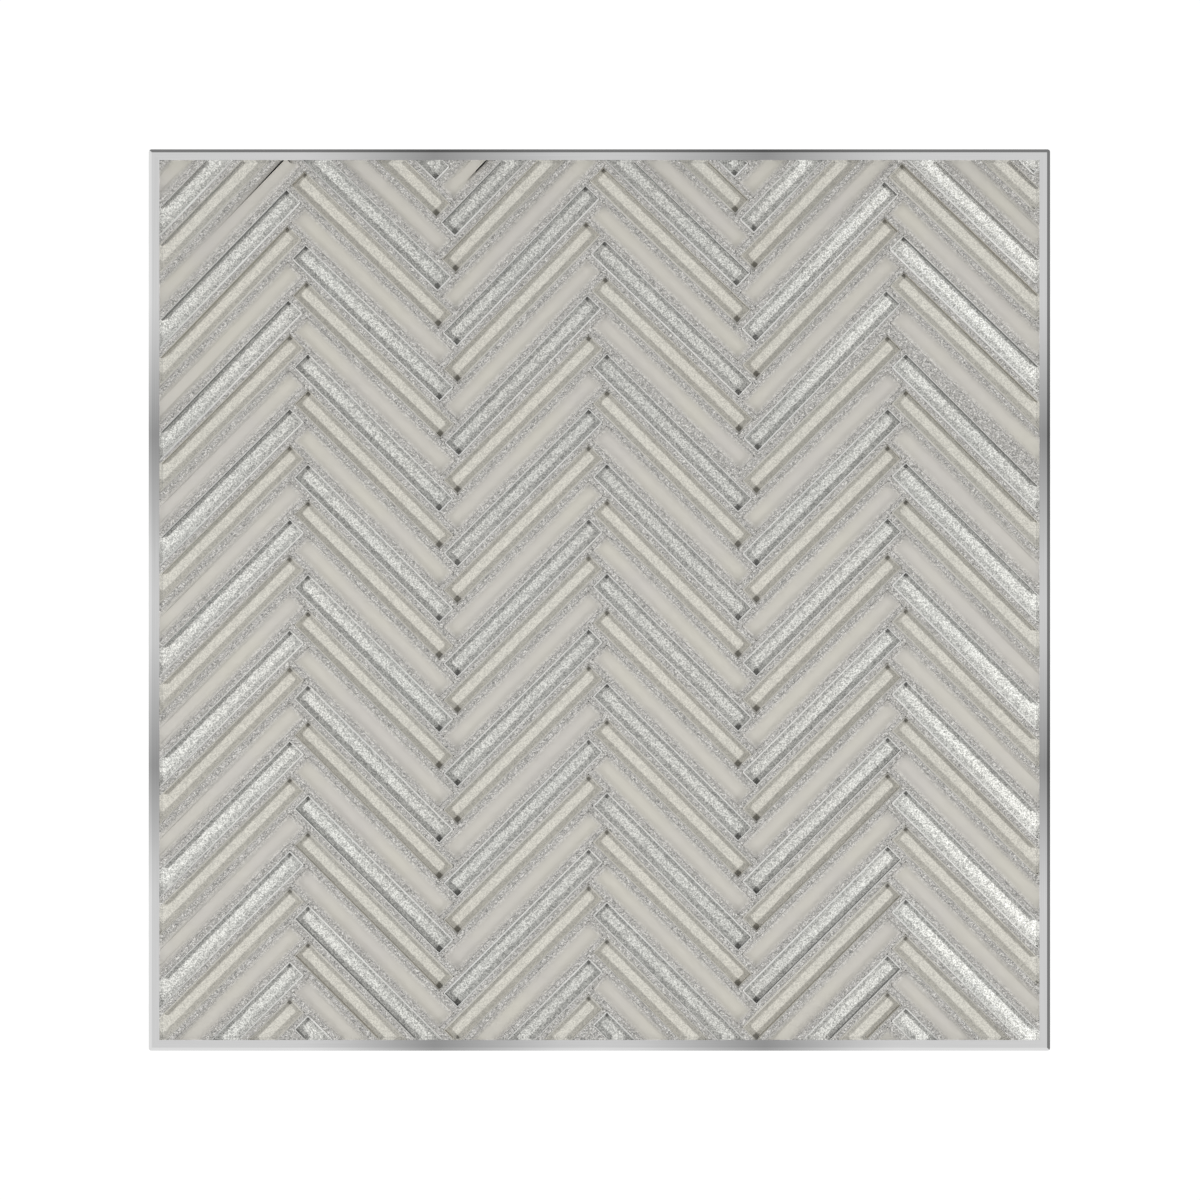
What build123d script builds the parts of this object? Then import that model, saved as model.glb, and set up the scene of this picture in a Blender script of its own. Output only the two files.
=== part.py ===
from build123d import *
import os
from math import ceil, cos, radians, sin, sqrt

# A square mosaic panel of glass strips laid in herringbone, grouted and framed in metal.
# Millimetres. The panel lies flat with its face up (+Z), centred on the origin, its back at Z = 0.

# Metal frame: a bar with a bevelled outer edge and a leg bedded between board and mosaic, its corners eased
panel_size = 304.8
frame_corner_radius = 1.0
rail_width = 3.8
rail_bevel_width = 1.2
rail_bevel_drop = 0.7
rail_proud = 0.25
leg_width = 6.0
leg_thickness = 1.0

# Backing board and the bed above the frame's leg
board_thickness = 3.0
leg_cover = 0.5

# One glass strip, with an arris ground on its top edges
strip_length = 69.8
strip_width = 7.1
strip_thickness = 6.0
arris = 0.5

# Joints: between long sides, between the ends of a column and the next one's, and the grout's depth
joint = 1.65
end_joint = 1.65
grout_recess = 0.1

# How the strips were laid by hand, measured from the panel's centre
pattern_shift = -0.55
first_silver_y = 37.9
row_drift = 0.003
shortest_piece = 2.0

# The upper rows are a second sheet, slid and turned a little so that its joint with the first one tapers
sheet_turn = 1.0
sheet_slide = 0.5
seam_joint = 0.3

# Strips follow each other in this order down every column, and columns lean right and left in turn
kinds = ("silver", "cream", "frosted")
lean_right = 45
lean_left = -45

# Levels, from the back up
leg_top = board_thickness + leg_thickness
strip_bottom = leg_top + leg_cover
strip_top = strip_bottom + strip_thickness
grout_top = strip_top - arris - grout_recess
rail_top = strip_top + rail_proud

# Spacings of the herringbone, whose strips lie at 45 degrees
panel_half = panel_size / 2
field_half = panel_half - rail_width
column_step = (strip_length + end_joint) / sqrt(2)
row_step = (strip_width + joint) * sqrt(2)
column_count = 2 * ceil(field_half / column_step)
middle_column = (column_count - 1) / 2
half_step_rise = 1.5 * row_step

os.makedirs("parts", exist_ok=True)


def column_x(column):
    """Where a column's middle line runs."""
    return pattern_shift + (column - middle_column) * column_step


def column_row_step(column):
    """Distance from strip to strip down a column, a little wider towards the left."""
    return row_step * (1 + row_drift * (middle_column - column))


def upper_sheet_move():
    """The upper sheet's turn about the left end of its seam, where the joint is narrowest."""
    seam_y_at_column = first_silver_y + 2.5 * column_row_step(0)
    seam_left_end = seam_y_at_column - (field_half + column_x(0))
    closing = (joint - seam_joint) * sqrt(2) - sheet_slide
    pivot = Location((-field_half, seam_left_end, 0))
    turn = Location((0, 0, 0), (0, 0, sheet_turn))
    return Location((sheet_slide, -closing, 0)) * pivot * turn * pivot.inverse()


def length_in_field(place):
    """How much of a strip's centre line lies inside the frame."""
    angle = radians(place.orientation.Z)
    x_crossings = sorted((side - place.position.X) / cos(angle) for side in (-field_half, field_half))
    y_crossings = sorted((side - place.position.Y) / sin(angle) for side in (-field_half, field_half))
    start = max(-strip_length / 2, x_crossings[0], y_crossings[0])
    end = min(strip_length / 2, x_crossings[1], y_crossings[1])
    return end - start


def strip_places(column):
    """Where the strips of each kind lie in one column, from a silver strip near its middle."""
    leans_right = column % 2 == 0
    lean = lean_right if leans_right else lean_left
    first_y = first_silver_y if leans_right else first_silver_y + half_step_rise
    first_lower_row = -2 if leans_right else 0
    rows_each_way = ceil((panel_size + strip_length) / row_step)
    places = {kind: [] for kind in kinds}
    for row in range(-rows_each_way, rows_each_way):
        y = first_y - row * column_row_step(column)
        place = Location((column_x(column), y, 0), (0, 0, lean))
        if row < first_lower_row:
            place = upper_sheet_move() * place
        if length_in_field(place) > shortest_piece:
            places[kinds[row % len(kinds)]].append(place)
    return places


# Frame rails: one profile, mitred at both ends and turned to the four sides
with BuildPart() as mitred_rail:
    with BuildSketch(Plane.YZ):
        with BuildLine():
            Polyline(
                (panel_half, 0),
                (panel_half, rail_top - rail_bevel_drop),
                (panel_half - rail_bevel_width, rail_top),
                (field_half, rail_top),
                (field_half, leg_top),
                (field_half - leg_width, leg_top),
                (field_half - leg_width, board_thickness),
                (field_half, board_thickness),
                (field_half, 0),
                close=True,
            )
        make_face()
    extrude(amount=panel_half, both=True)
    split(bisect_by=Plane((0, 0, 0), x_dir=(0, 0, 1), z_dir=(1, -1, 0)), keep=Keep.BOTTOM)
    split(bisect_by=Plane((0, 0, 0), x_dir=(0, 0, 1), z_dir=(-1, -1, 0)), keep=Keep.BOTTOM)
    with BuildSketch():
        RectangleRounded(panel_size, panel_size, frame_corner_radius)
    extrude(amount=rail_top, mode=Mode.INTERSECT)

for side, turn in (("top", 0), ("left", 90), ("bottom", 180), ("right", 270)):
    with BuildPart() as rail:
        add(mitred_rail.part, rotation=(0, 0, turn))
    rail.part.label = f"frame_rail_{side}"
    export_step(rail.part, f"parts/frame_rail_{side}.step")

# Backing board, under the frame's legs
with BuildPart() as backing_board:
    with BuildSketch():
        Rectangle(2 * field_half, 2 * field_half)
    extrude(amount=board_thickness)
backing_board.part.label = "backing_board"
export_step(backing_board.part, "parts/backing_board.step")

# One whole glass strip, lying along X
with BuildPart() as whole_strip:
    with BuildSketch(Plane.XY.offset(strip_bottom)):
        Rectangle(strip_length, strip_width)
    extrude(amount=strip_thickness)
    chamfer(whole_strip.faces().sort_by(Axis.Z)[-1].edges(), length=arris)

# The strips, column by column and kind by kind, cut off where they meet the frame
laid_strips = []
for column in range(column_count):
    for kind, places in strip_places(column).items():
        with BuildPart() as strips:
            with Locations(*places):
                add(whole_strip.part)
            with BuildSketch(Plane.XY.offset(strip_bottom)):
                Rectangle(2 * field_half, 2 * field_half)
            extrude(amount=strip_thickness, mode=Mode.INTERSECT)
        strips.part.label = f"{kind}_strips_column_{column + 1}"
        export_step(strips.part, f"parts/{kind}_strips_column_{column + 1}.step")
        laid_strips.append(strips.part)

# Grout: a bed inside the legs, and above them the joints around every strip
with BuildPart() as grout_bed:
    with BuildSketch(Plane.XY.offset(board_thickness)):
        Rectangle(2 * (field_half - leg_width), 2 * (field_half - leg_width))
    extrude(amount=leg_thickness)
    with BuildSketch(Plane.XY.offset(leg_top)):
        Rectangle(2 * field_half, 2 * field_half)
    extrude(amount=grout_top - leg_top)
    add(laid_strips, mode=Mode.SUBTRACT)
grout_bed.part.label = "grout_bed"
export_step(grout_bed.part, "parts/grout_bed.step")
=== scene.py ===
import math

import bmesh
import bpy
from mathutils import Matrix, Vector


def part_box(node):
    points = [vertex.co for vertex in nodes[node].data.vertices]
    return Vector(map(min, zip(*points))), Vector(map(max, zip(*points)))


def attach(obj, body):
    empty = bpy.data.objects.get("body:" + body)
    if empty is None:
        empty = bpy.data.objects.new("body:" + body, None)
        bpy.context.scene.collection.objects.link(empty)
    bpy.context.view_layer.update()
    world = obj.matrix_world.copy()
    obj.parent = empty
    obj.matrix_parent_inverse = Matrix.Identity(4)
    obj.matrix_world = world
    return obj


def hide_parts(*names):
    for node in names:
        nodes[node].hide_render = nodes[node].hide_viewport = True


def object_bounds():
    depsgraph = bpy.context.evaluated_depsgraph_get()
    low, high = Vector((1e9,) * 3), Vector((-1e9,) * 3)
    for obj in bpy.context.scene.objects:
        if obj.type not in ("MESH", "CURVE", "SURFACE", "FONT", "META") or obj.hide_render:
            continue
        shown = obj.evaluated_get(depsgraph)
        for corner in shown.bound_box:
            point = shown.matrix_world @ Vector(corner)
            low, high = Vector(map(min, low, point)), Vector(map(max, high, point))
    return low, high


# A framed herringbone mosaic of glass strips, lying face up and seen from straight above. Metres.

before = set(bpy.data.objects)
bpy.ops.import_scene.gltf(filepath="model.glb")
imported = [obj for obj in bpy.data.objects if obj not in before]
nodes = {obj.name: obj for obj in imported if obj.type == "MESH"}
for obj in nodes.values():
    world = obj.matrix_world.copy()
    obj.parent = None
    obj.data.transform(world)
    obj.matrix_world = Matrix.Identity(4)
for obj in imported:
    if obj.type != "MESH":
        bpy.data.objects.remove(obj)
cad_low, cad_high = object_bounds()
field_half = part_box("backing_board")[1].x

# Shape of a strip: its round arris, its rounded corners, its clearance in the grout, and a satin strip's rim
ARRIS = 0.0005
ARRIS_STEPS = 4
CORNER = 0.0006
CORNER_STEPS = 3
SEAT = 0.00003
RIM = 0.0013

# How outlines are read: points that are one, flat angles, downward normals, edges too short to keep,
# and how little the direction of an edge that was cut to the frame leans
WELD = 0.000002
FLAT_ANGLE = math.radians(1)
FACING_DOWN = -0.99
SHORT_EDGE = 0.00065
CUT_LEAN = 0.3

# The columns of strips, and the material slots of a strip
COLUMNS = 6
FACE_SLOT, BACK_SLOT, SIDE_SLOT, CUT_SLOT, ARRIS_SLOT = range(5)

# Colours of glass, as a cool and a warm cloud, and of the haze on a satin strip's rim
CLEAR = ((0.94, 0.95, 0.94), (0.96, 0.95, 0.93))
GROUND = ((0.88, 0.88, 0.86), (0.92, 0.91, 0.88))
SATIN = ((0.532, 0.516, 0.484), (0.554, 0.54, 0.475))
HAZE = (0.61, 0.6, 0.573)
HAZE_FALL = 1.5
GLASS_IOR = 1.5

# Colours of the strips' backs and of their ground sides
SILVER = (0.505, 0.505, 0.481)
CREAM = (0.655, 0.64, 0.585)
PALE = (0.75, 0.73, 0.70)
SILVER_SIDE = (0.31, 0.31, 0.30)
CREAM_SIDE = (0.45, 0.43, 0.38)
PALE_SIDE = (0.66, 0.64, 0.61)

# Colours of the grout, from its dark grains to its glitter, of the metal and of the board
GROUT = (
    (0.0, (0.18, 0.18, 0.176)),
    (0.3, (0.378, 0.371, 0.342)),
    (0.7, (0.472, 0.459, 0.449)),
    (1.0, (0.79, 0.78, 0.74)),
)
METAL = (0.77, 0.82)
CEMENT = ((0.50, 0.49, 0.47), (0.60, 0.59, 0.56))

# Fineness of the grain, per metre
CLOUDS = 40.0
FLECKS = 2900.0
GLITTER = 3200.0
GROUT_GRAIN = 1600.0
SIDE_GRAIN = 1800.0
CEMENT_GRAIN = 300.0
BRUSH_ACROSS = 4000.0
BRUSH_ALONG = 25.0

# Camera above the middle of the panel, and the width of what it sees at the frame's face
CAMERA_HEIGHT = 0.6
CAMERA_X = 0.0002
CAMERA_Y = 0.0
VIEW_WIDTH = 0.4053
SENSOR = 36

# Two lamps, left and right of the panel and a little towards its lower side, and the soft light around
LAMP_DISTANCE = 1.1
LAMP_TILT = math.radians(28)
LAMP_TURN = math.radians(8)
LAMP_WIDTH = 0.06
LAMP_LENGTH = 0.08
LAMP_SHARE = 0.39
AMBIENT = 0.22

# What metal and glass mirror: the ceiling, the sides left and below, those right and above, and the greys
# of the panels, by the smaller of a direction's two level parts
CEILING = 0.76
SIDE_BRIGHT = 0.9
SIDE_DIM = 0.24
PANELS = ((0.0, 0.97), (0.023, 0.92), (0.09, 0.46), (0.139, 0.88), (0.16, 1.0))

# The floor: its size, its gap under the panel, its own grey, and how far and how bright it is shown white
FLOOR_SIZE = 6
FLOOR_GAP = 0.0002
FLOOR_GREY = 0.8
FLOOR_WHITE_SHARE = 0.88
FLOOR_WHITE = 1.08


# Node helpers

def add(tree, kind, inputs=None, **settings):
    """A new shader node, with its settings made and its inputs set or linked."""
    new = tree.nodes.new("ShaderNode" + kind)
    for name, value in settings.items():
        setattr(new, name, value)
    for name, value in (inputs or {}).items():
        if isinstance(value, bpy.types.NodeSocket):
            tree.links.new(value, new.inputs[name])
        else:
            new.inputs[name].default_value = value
    return new


def calc(tree, operation, first, second=0.0):
    """The result of a Math node."""
    return add(tree, "Math", {0: first, 1: second}, operation=operation).outputs[0]


def ramp(tree, factor, stops):
    """A colour ramp through (place, colour) stops."""
    new = add(tree, "ValToRGB", {"Fac": factor})
    elements = new.color_ramp.elements
    while len(elements) < len(stops):
        elements.new(0.5)
    for element, (place, colour) in zip(elements, stops):
        element.position = place
        element.color = (*colour, 1)
    return new.outputs["Color"]


def blend(tree, value, start, end):
    """A figure that turns smoothly, as the value goes from one (value, figure) pair to another."""
    inputs = {"Value": value, "From Min": start[0], "From Max": end[0], "To Min": start[1], "To Max": end[1]}
    return add(tree, "MapRange", inputs, interpolation_type="SMOOTHSTEP").outputs["Result"]


def mixed_colour(tree, share, first, second):
    """One colour turning into another as the share goes from 0 to 1."""
    return add(tree, "MixRGB", {"Fac": share, "Color1": first, "Color2": second}).outputs["Color"]


def mixed_shader(tree, share, first, second):
    """One shader turning into another as the share goes from 0 to 1."""
    return add(tree, "MixShader", {"Fac": share, 1: first, 2: second}).outputs[0]


def grey(value):
    return (value, value, value)


def scaled(colour, share):
    return tuple(channel * share for channel in colour)


def material(name):
    """An empty material and its node tree."""
    new = bpy.data.materials.new(name)
    new.use_nodes = True
    new.node_tree.nodes.clear()
    return new, new.node_tree


def finish_material(tree, shader):
    add(tree, "OutputMaterial", {"Surface": shader})


def position(tree):
    return add(tree, "TexCoord").outputs["Object"]


def noise(tree, scale, detail, vector=None):
    """A cloudy grey, laid out by the object's own position unless a vector is given."""
    inputs = {"Vector": vector or position(tree), "Scale": scale, "Detail": detail}
    return add(tree, "TexNoise", inputs).outputs["Fac"]


def cells(tree, scale):
    """A random grey for each fleck of a surface."""
    flecks = add(tree, "TexVoronoi", {"Vector": position(tree), "Scale": scale})
    return add(tree, "SeparateColor", {"Color": flecks.outputs["Color"]}).outputs[0]


def flecked(tree, colour, spread):
    """A colour that differs from fleck to fleck by up to a share of itself."""
    stops = [(0.0, scaled(colour, 1 - spread)), (1.0, scaled(colour, 1 + spread))]
    return ramp(tree, cells(tree, FLECKS), stops)


def bump(tree, height, strength, distance):
    inputs = {"Height": height, "Strength": strength, "Distance": distance}
    return add(tree, "Bump", inputs).outputs["Normal"]


# Materials

def glass(name, clouds, roughness=0.0, clearness=1.0, rim_tone=None):
    """Faintly clouded glass that lets the light straight through. Its rim may be hazed with grout."""
    made, tree = material(name)
    cool, warm = clouds
    tone = ramp(tree, noise(tree, CLOUDS, detail=1.0), [(0.35, cool), (0.65, warm)])
    if rim_tone:
        rim = add(tree, "Attribute", attribute_name="rim").outputs["Fac"]
        haze = flecked(tree, rim_tone, spread=0.4)
        tone = mixed_colour(tree, calc(tree, "POWER", rim, HAZE_FALL), tone, haze)
    body = add(tree, "BsdfPrincipled", {
        "Base Color": tone, "Roughness": roughness, "IOR": GLASS_IOR, "Transmission Weight": clearness,
    })
    path = add(tree, "LightPath").outputs
    bounced = calc(tree, "MAXIMUM", path["Is Diffuse Ray"], path["Is Glossy Ray"])
    passes = calc(tree, "MAXIMUM", path["Is Shadow Ray"], bounced)
    clear = add(tree, "BsdfTransparent", {"Color": (1, 1, 1, 1)})
    finish_material(tree, mixed_shader(tree, passes, body.outputs[0], clear.outputs[0]))
    return made


def foil():
    """Crumpled silver leaf on the back of a strip, with a painted sheen: its colour is made brighter towards
    the sides, the lower side and the right-hand corners, in place of the lights' reflections in the foil.

    The blends pair a distance from the panel's middle with a share of brightness.
    """
    made, tree = material("silver_foil")
    place = add(tree, "SeparateXYZ", {"Vector": position(tree)}).outputs
    x = place["X"]
    y = place["Y"]
    # Painted sheen: shares of brightness by position, standing in for the lights' reflections in the foil,
    # which scale the flakes' colour
    lower = blend(tree, y, (-0.12, 0.06), (0.06, 0.0))
    far_right = blend(tree, x, (0.07, 0.0), (0.15, 1.0))
    low_down = blend(tree, y, (-0.14, 0.28), (0.08, 0.0))
    lower_right_sheen = calc(tree, "MULTIPLY", far_right, low_down)
    rightwards = blend(tree, x, (0.0, 0.07), (0.1, 0.2))
    high_up = blend(tree, y, (0.06, 0.0), (0.1, 1.0))
    upper_right_sheen = calc(tree, "MULTIPLY", rightwards, high_up)
    corner = blend(tree, calc(tree, "ADD", x, y), (0.19, 0.0), (0.21, 0.12))
    painted_sheen = blend(tree, calc(tree, "ABSOLUTE", x), (0.02, 1.0), (0.1, 1.1))
    for more in (lower, lower_right_sheen, upper_right_sheen, corner):
        painted_sheen = calc(tree, "ADD", painted_sheen, more)
    flakes = flecked(tree, SILVER, spread=0.5)
    flakes_with_painted_sheen = add(tree, "VectorMath", {0: flakes, "Scale": painted_sheen}, operation="SCALE").outputs[0]
    tone = add(tree, "VectorMath", {0: flakes_with_painted_sheen, 1: grey(1.0)}, operation="MINIMUM").outputs[0]
    body = add(tree, "BsdfPrincipled", {"Base Color": tone, "Metallic": 0.15, "Roughness": 0.5})
    finish_material(tree, body.outputs[0])
    return made


def paint(name, colour):
    """Matt paint on the back of a strip, with a fine grain."""
    made, tree = material(name)
    tone = flecked(tree, colour, spread=0.2)
    body = add(tree, "BsdfPrincipled", {"Base Color": tone, "Roughness": 0.8, "Specular IOR Level": 0.0})
    finish_material(tree, body.outputs[0])
    return made


def ground_side(name, colour):
    """The ground sides of a strip, bedded in grout."""
    made, tree = material(name)
    stops = [(0.3, scaled(colour, 0.9)), (0.7, scaled(colour, 1.1))]
    tone = ramp(tree, noise(tree, SIDE_GRAIN, detail=2.0), stops)
    body = add(tree, "BsdfPrincipled", {"Base Color": tone, "Roughness": 0.7, "Specular IOR Level": 0.0})
    finish_material(tree, body.outputs[0])
    return made


def grout():
    """Silver-grey grout with fine glitter."""
    made, tree = material("glitter_grout")
    body = add(tree, "BsdfPrincipled", {
        "Base Color": ramp(tree, cells(tree, GLITTER), GROUT), "Roughness": 0.8, "Specular IOR Level": 0.2,
        "Normal": bump(tree, noise(tree, GROUT_GRAIN, detail=2.0), strength=0.3, distance=0.0002),
    })
    finish_material(tree, body.outputs[0])
    return made


def brushed_metal(name, along):
    """Silver metal brushed along a rail."""
    made, tree = material(name)
    stretch = [BRUSH_ACROSS] * 3
    stretch[along] = BRUSH_ALONG
    streaks = add(tree, "Mapping", {"Vector": position(tree), "Scale": stretch}).outputs["Vector"]
    dark, light = METAL
    lines = noise(tree, scale=1.0, detail=2.0, vector=streaks)
    tone = ramp(tree, lines, [(0.3, grey(dark)), (0.7, grey(light))])
    body = add(tree, "BsdfPrincipled", {"Base Color": tone, "Metallic": 1.0, "Roughness": 0.03})
    finish_material(tree, body.outputs[0])
    return made


def fibre_cement():
    """The board's back: grey, slightly rough cement."""
    made, tree = material("fibre_cement")
    coarse = noise(tree, CEMENT_GRAIN, detail=4.0)
    dark, light = CEMENT
    tone = ramp(tree, coarse, [(0.3, dark), (0.7, light)])
    body = add(tree, "BsdfPrincipled", {
        "Base Color": tone, "Roughness": 0.9, "Normal": bump(tree, coarse, strength=0.4, distance=0.0004),
    })
    finish_material(tree, body.outputs[0])
    return made


# Outlines of the strips

def strip_outlines(node):
    """The plan outlines of a node's strips, anticlockwise, read from the undersides of its solids."""
    solids = bmesh.new()
    solids.from_mesh(nodes[node].data)
    bmesh.ops.remove_doubles(solids, verts=solids.verts, dist=WELD)
    bmesh.ops.dissolve_limit(solids, angle_limit=FLAT_ANGLE, verts=solids.verts, edges=solids.edges)
    solids.normal_update()
    undersides = [face for face in solids.faces if face.normal.z < FACING_DOWN]
    outlines = [[vert.co.to_2d() for vert in face.verts][::-1] for face in undersides]
    solids.free()
    return [without_short_edges(outline) for outline in outlines]


def without_short_edges(outline):
    """The outline with the edges beside a very short one run on until they meet."""
    edges = [(start, end - start) for start, end in zip(outline, outline[1:] + outline[:1])]
    kept = [(start, run) for start, run in edges if run.length > SHORT_EDGE]
    return meeting_points(*zip(*kept))


def left_of(run):
    return Vector((-run.y, run.x))


def cross(first, second):
    return first.x * second.y - first.y * second.x


def edge_runs(points):
    """Directions of the edges that start at each of the points."""
    return [(after - point).normalized() for point, after in zip(points, points[1:] + points[:1])]


def drawn_in(outline, insets):
    """The outline with each of its edges moved inwards by its own distance."""
    runs = edge_runs(outline)
    starts = [point + left_of(run) * inset for point, run, inset in zip(outline, runs, insets)]
    return meeting_points(starts, runs)


def meeting_points(starts, runs):
    """Where each line, given by its start and direction, meets the line before it."""
    corners = []
    for i, start in enumerate(starts):
        reach = cross(start - starts[i - 1], runs[i]) / cross(runs[i - 1], runs[i])
        corners.append(starts[i - 1] + runs[i - 1] * reach)
    return corners


def round_corner(corner, before, after, radius):
    """Points on the arc that rounds a corner between two edges."""
    turn = math.atan2(cross(before, after), before.dot(after))
    start = corner - before * radius * math.tan(turn / 2)
    centre = start + left_of(before) * radius
    arm = start - centre
    return [centre + Matrix.Rotation(turn * k / CORNER_STEPS, 2) @ arm for k in range(CORNER_STEPS + 1)]


def strip_ring(outline, inset):
    """The outline drawn in by an inset, its uncut corners rounded. Cut edges take only the clearance."""
    runs = edge_runs(outline)
    cut = [min(abs(run.x), abs(run.y)) < CUT_LEAN for run in runs]
    corners = drawn_in(outline, [SEAT if is_cut else SEAT + inset for is_cut in cut])
    points = []
    for i, corner in enumerate(corners):
        if cut[i - 1] or cut[i]:
            points.append(corner)
        else:
            points += round_corner(corner, runs[i - 1], runs[i], max(CORNER - inset, CORNER - ARRIS))
    return points


# Strips

def strip_levels(bottom, top, rim):
    """Insets and heights of a strip's rings, from its back over the round arris to its face."""
    levels = [(0.0, bottom + SEAT)]
    for step in range(ARRIS_STEPS + 1):
        angle = math.radians(90) * step / ARRIS_STEPS
        levels.append((ARRIS * (1 - math.cos(angle)), top - ARRIS * (1 - math.sin(angle))))
    if rim:
        levels.append((ARRIS + rim, top))
    return levels


def at_frame(vert):
    """Whether a strip was cut here to fit the frame."""
    return max(abs(vert.co.x), abs(vert.co.y)) > field_half - 2 * SEAT


def wall_slot(level, first, second):
    """The material slot of the face above two neighbours in a ring: a side, a cut end, arris or rim."""
    if level > ARRIS_STEPS:
        return FACE_SLOT
    if level > 0:
        return ARRIS_SLOT
    return CUT_SLOT if at_frame(first) and at_frame(second) else SIDE_SLOT


def add_strip(mesh, outline, bottom, top, rim):
    """One closed strip: its back, its sides, its round arris, the rim of its face and its face."""
    rim_share = mesh.verts.layers.float["rim"]
    rings = []
    for inset, height in strip_levels(bottom, top, rim):
        ring = [mesh.verts.new((*point, height)) for point in strip_ring(outline, inset)]
        for vert in ring:
            vert[rim_share] = 0.0 if inset > ARRIS else 1.0
        rings.append(ring)
    back = mesh.faces.new(rings[0][::-1])
    back.material_index = BACK_SLOT
    front = mesh.faces.new(rings[-1])
    front.material_index = FACE_SLOT
    for level, (lower, upper) in enumerate(zip(rings, rings[1:])):
        for i, vert in enumerate(lower):
            j = (i + 1) % len(lower)
            face = mesh.faces.new((vert, lower[j], upper[j], upper[i]))
            face.smooth = level > 0
            face.material_index = wall_slot(level, vert, lower[j])


def glass_strips(node, materials, rim):
    """The strips of one CAD node as glass bodies, with their materials in the order of the slots."""
    low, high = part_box(node)
    mesh = bmesh.new()
    mesh.verts.layers.float.new("rim")
    for outline in strip_outlines(node):
        add_strip(mesh, outline, low.z, high.z, rim)
    data = bpy.data.meshes.new(node + "_glass")
    mesh.to_mesh(data)
    mesh.free()
    for each in materials:
        data.materials.append(each)
    strips = bpy.data.objects.new(node + "_glass", data)
    bpy.context.scene.collection.objects.link(strips)
    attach(strips, "root")
    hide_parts(node)


def dress(node, finish):
    """Gives a CAD node its material."""
    nodes[node].data.materials.clear()
    nodes[node].data.materials.append(finish)


# Stage

def add_floor():
    """A pale floor that looks white, in mirrors and through glass too, and keeps a faint shadow."""
    bpy.ops.mesh.primitive_plane_add(size=FLOOR_SIZE, location=(0, 0, -FLOOR_GAP))
    floor = bpy.context.object
    floor.name = "floor"
    made, tree = material("floor_white")
    plain = add(tree, "BsdfDiffuse", {"Color": (*grey(FLOOR_GREY), 1)}).outputs[0]
    white = add(tree, "Emission", {"Color": (1, 1, 1, 1), "Strength": FLOOR_WHITE}).outputs[0]
    seen = mixed_shader(tree, FLOOR_WHITE_SHARE, plain, white)
    path = add(tree, "LightPath").outputs
    mirrored = calc(tree, "MAXIMUM", path["Is Glossy Ray"], path["Is Transmission Ray"])
    shown = calc(tree, "MAXIMUM", path["Is Camera Ray"], mirrored)
    finish_material(tree, mixed_shader(tree, shown, plain, seen))
    floor.data.materials.append(made)


def add_lamp(name, side):
    """One of the two lamps, aimed at the panel's middle."""
    data = bpy.data.lights.new(name, "AREA")
    data.shape = "RECTANGLE"
    data.size = LAMP_WIDTH
    data.size_y = LAMP_LENGTH
    data.energy = LAMP_SHARE * math.pi ** 2 * LAMP_DISTANCE ** 2 / math.cos(LAMP_TILT)
    lamp = bpy.data.objects.new(name, data)
    out = LAMP_DISTANCE * math.sin(LAMP_TILT)
    lamp.location = (
        side * out * math.cos(LAMP_TURN), -out * math.sin(LAMP_TURN), LAMP_DISTANCE * math.cos(LAMP_TILT))
    lamp.rotation_euler = (0, side * LAMP_TILT, -side * LAMP_TURN)
    lamp.visible_camera = False
    bpy.context.scene.collection.objects.link(lamp)


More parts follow.
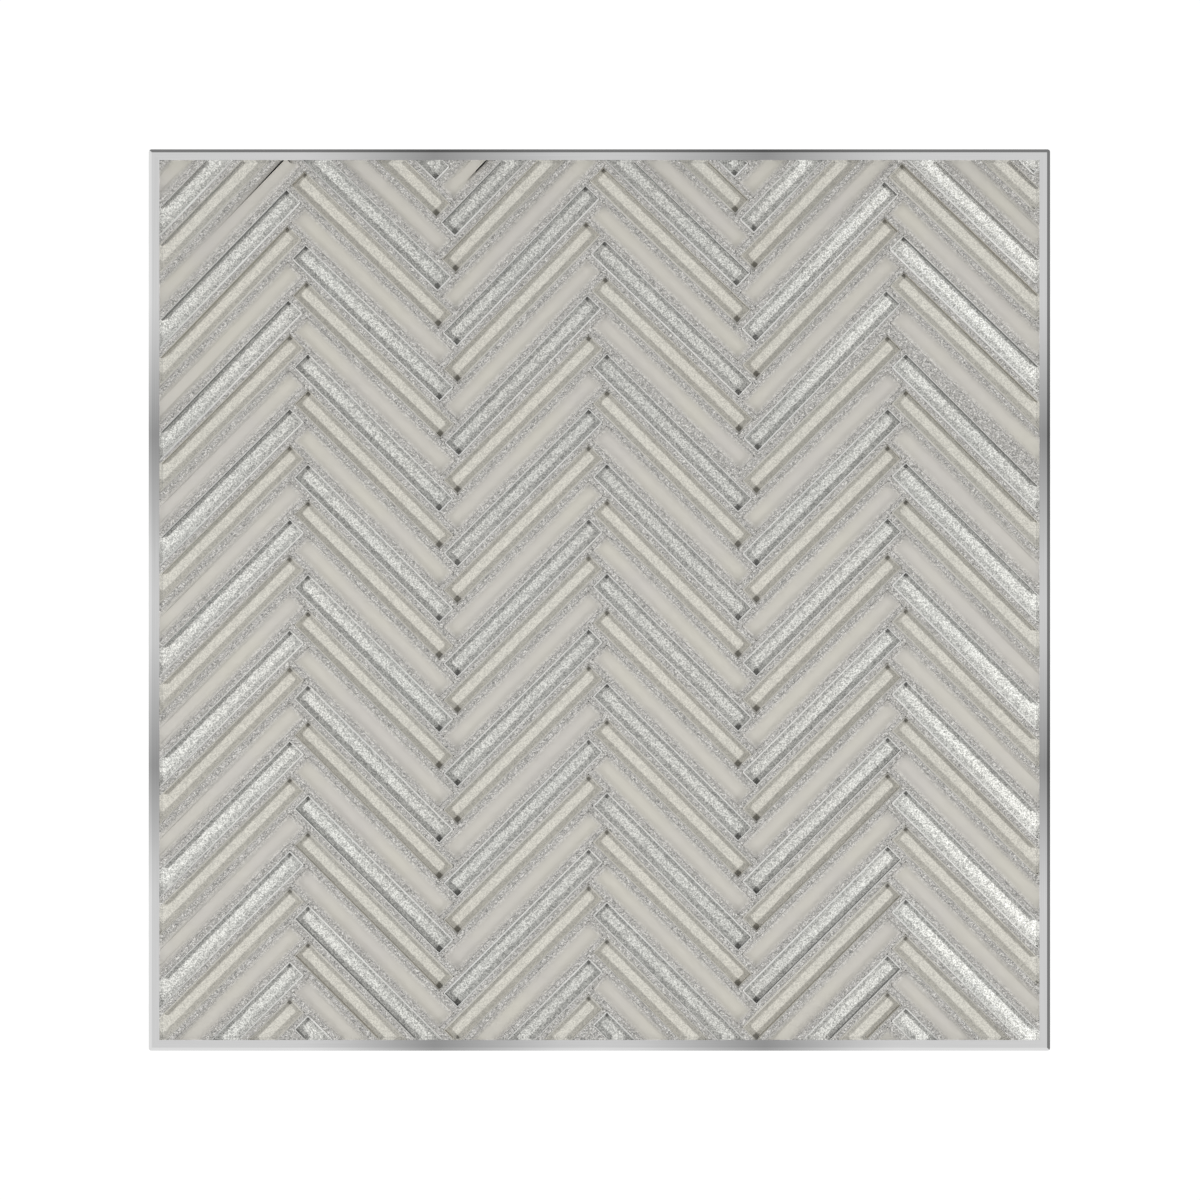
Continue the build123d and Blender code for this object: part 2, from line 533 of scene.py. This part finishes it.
def add_world():
    """Even soft light. Metal and glass mirror a panelled ceiling, two bright sides and two dim ones."""
    world = bpy.data.worlds.new("studio")
    bpy.context.scene.world = world
    world.use_nodes = True
    tree = world.node_tree
    tree.nodes.clear()
    x, y, z = add(tree, "SeparateXYZ", {"Vector": add(tree, "TexCoord").outputs["Generated"]}).outputs
    smaller = calc(tree, "MINIMUM", calc(tree, "ABSOLUTE", x), calc(tree, "ABSOLUTE", y))
    panels = ramp(tree, smaller, [(place, grey(value)) for place, value in PANELS])
    side = blend(tree, calc(tree, "ADD", x, y), (0.2, SIDE_BRIGHT), (0.5, SIDE_DIM))
    height = blend(tree, z, (0.45, 0.0), (0.7, 1.0))
    ceiling = calc(tree, "MULTIPLY", height, CEILING)
    below = calc(tree, "MULTIPLY", calc(tree, "SUBTRACT", 1.0, height), side)
    room = calc(tree, "MULTIPLY", calc(tree, "ADD", ceiling, below), panels)
    path = add(tree, "LightPath").outputs
    mirrored = calc(tree, "MAXIMUM", path["Is Glossy Ray"], path["Is Transmission Ray"])
    soft = add(tree, "Background", {"Color": (1, 1, 1, 1), "Strength": AMBIENT}).outputs[0]
    studio = add(tree, "Background", {"Color": (1, 1, 1, 1), "Strength": room}).outputs[0]
    white = add(tree, "Background", {"Color": (1, 1, 1, 1), "Strength": 1.0}).outputs[0]
    lit = mixed_shader(tree, mirrored, soft, studio)
    add(tree, "OutputWorld", {"Surface": mixed_shader(tree, path["Is Camera Ray"], lit, white)})


def add_camera():
    """The camera, straight above the panel."""
    data = bpy.data.cameras.new("camera")
    data.sensor_width = SENSOR
    data.lens = SENSOR * CAMERA_HEIGHT / VIEW_WIDTH
    camera = bpy.data.objects.new("camera", data)
    camera.location = (CAMERA_X, CAMERA_Y, cad_high.z + CAMERA_HEIGHT)
    bpy.context.scene.collection.objects.link(camera)
    bpy.context.scene.camera = camera


# The panel: the materials of each kind of strip, in the order of the slots

cut_end = glass("cut_end_glass", CLEAR)
satin_glass = glass("frosted_satin_glass", SATIN, roughness=0.6, clearness=0.5, rim_tone=HAZE)
finishes = {
    "silver": (
        glass("silver_clear_glass", CLEAR),
        foil(),
        ground_side("silver_side", SILVER_SIDE),
        cut_end,
        glass("silver_arris_glass", GROUND, roughness=0.4, clearness=0.4),
    ),
    "cream": (
        glass("cream_clear_glass", CLEAR),
        paint("cream_paint", CREAM),
        ground_side("cream_side", CREAM_SIDE),
        cut_end,
        glass("cream_arris_glass", GROUND, roughness=0.4, clearness=0.8),
    ),
    "frosted": (
        satin_glass,
        paint("pale_paint", PALE),
        ground_side("frosted_side", PALE_SIDE),
        cut_end,
        satin_glass,
    ),
}
rims = {"silver": 0.0, "cream": 0.0, "frosted": RIM}
for kind, materials in finishes.items():
    for column in range(1, COLUMNS + 1):
        glass_strips(f"{kind}_strips_column_{column}", materials, rims[kind])

dress("grout_bed", grout())
dress("backing_board", fibre_cement())

# The rails neither shade the strips beside them nor throw light on them
for side, along in (("top", 0), ("right", 1), ("bottom", 0), ("left", 1)):
    dress(f"frame_rail_{side}", brushed_metal(f"brushed_metal_{side}", along))
    nodes[f"frame_rail_{side}"].visible_shadow = False
    nodes[f"frame_rail_{side}"].visible_diffuse = False

add_floor()
add_lamp("lamp_left", -1)
add_lamp("lamp_right", 1)
add_world()
add_camera()
bpy.context.scene.view_settings.view_transform = "Standard"
